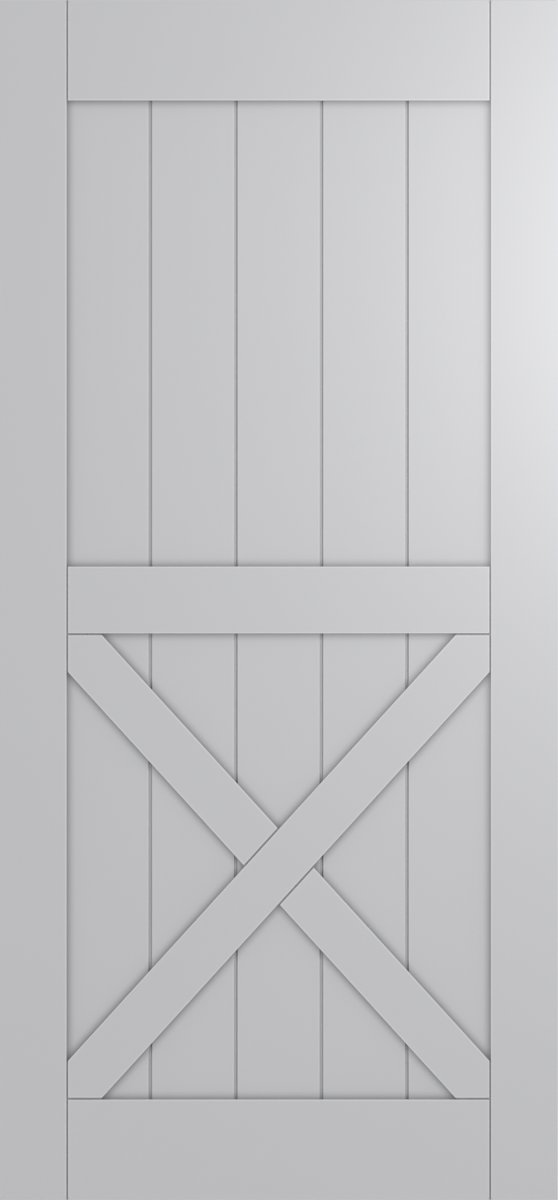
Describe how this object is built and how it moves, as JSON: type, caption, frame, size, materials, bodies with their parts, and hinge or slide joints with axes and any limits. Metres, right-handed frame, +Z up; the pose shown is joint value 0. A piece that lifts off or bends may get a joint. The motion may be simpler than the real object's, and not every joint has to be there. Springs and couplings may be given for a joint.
{
  "type": "sliding barn door leaf",
  "caption": "Framed and boarded sliding door leaf with upright V-jointed boards, a mid rail, and X braces from corner to corner of the lower field; painted light grey.",
  "frame": {"origin": "middle of the bottom edge, midway through the thickness", "axes": "+X across the leaf to the right as seen from the front, front face towards -Y, +Z up"},
  "size_m": [1, 0.04, 2.15],
  "materials": {
    "painted_frame": "satin light grey paint",
    "painted_boards": "satin light grey paint",
    "painted_braces": "satin light grey paint",
    "bare_beech": "bare beech"
  },
  "bodies": {
    "root": {"left_stile": "painted_frame", "right_stile": "painted_frame", "top_rail": "painted_frame", "mid_rail": "painted_frame", "bottom_rail": "painted_frame", "upper_board_1": "painted_boards", "upper_board_2": "painted_boards", "upper_board_3": "painted_boards", "upper_board_4": "painted_boards", "upper_board_5": "painted_boards", "lower_board_1": "painted_boards", "lower_board_2": "painted_boards", "lower_board_3": "painted_boards", "lower_board_4": "painted_boards", "lower_board_5": "painted_boards", "front_brace_long": "painted_braces", "front_brace_upper": "painted_braces", "front_brace_lower": "painted_braces", "back_brace_long": "painted_braces", "back_brace_upper": "painted_braces", "back_brace_lower": "painted_braces", "top_rail_tenons": "bare_beech", "mid_rail_tenons": "bare_beech", "bottom_rail_tenons": "bare_beech", "brace_pins": "bare_beech"}
  },
  "joints": []
}
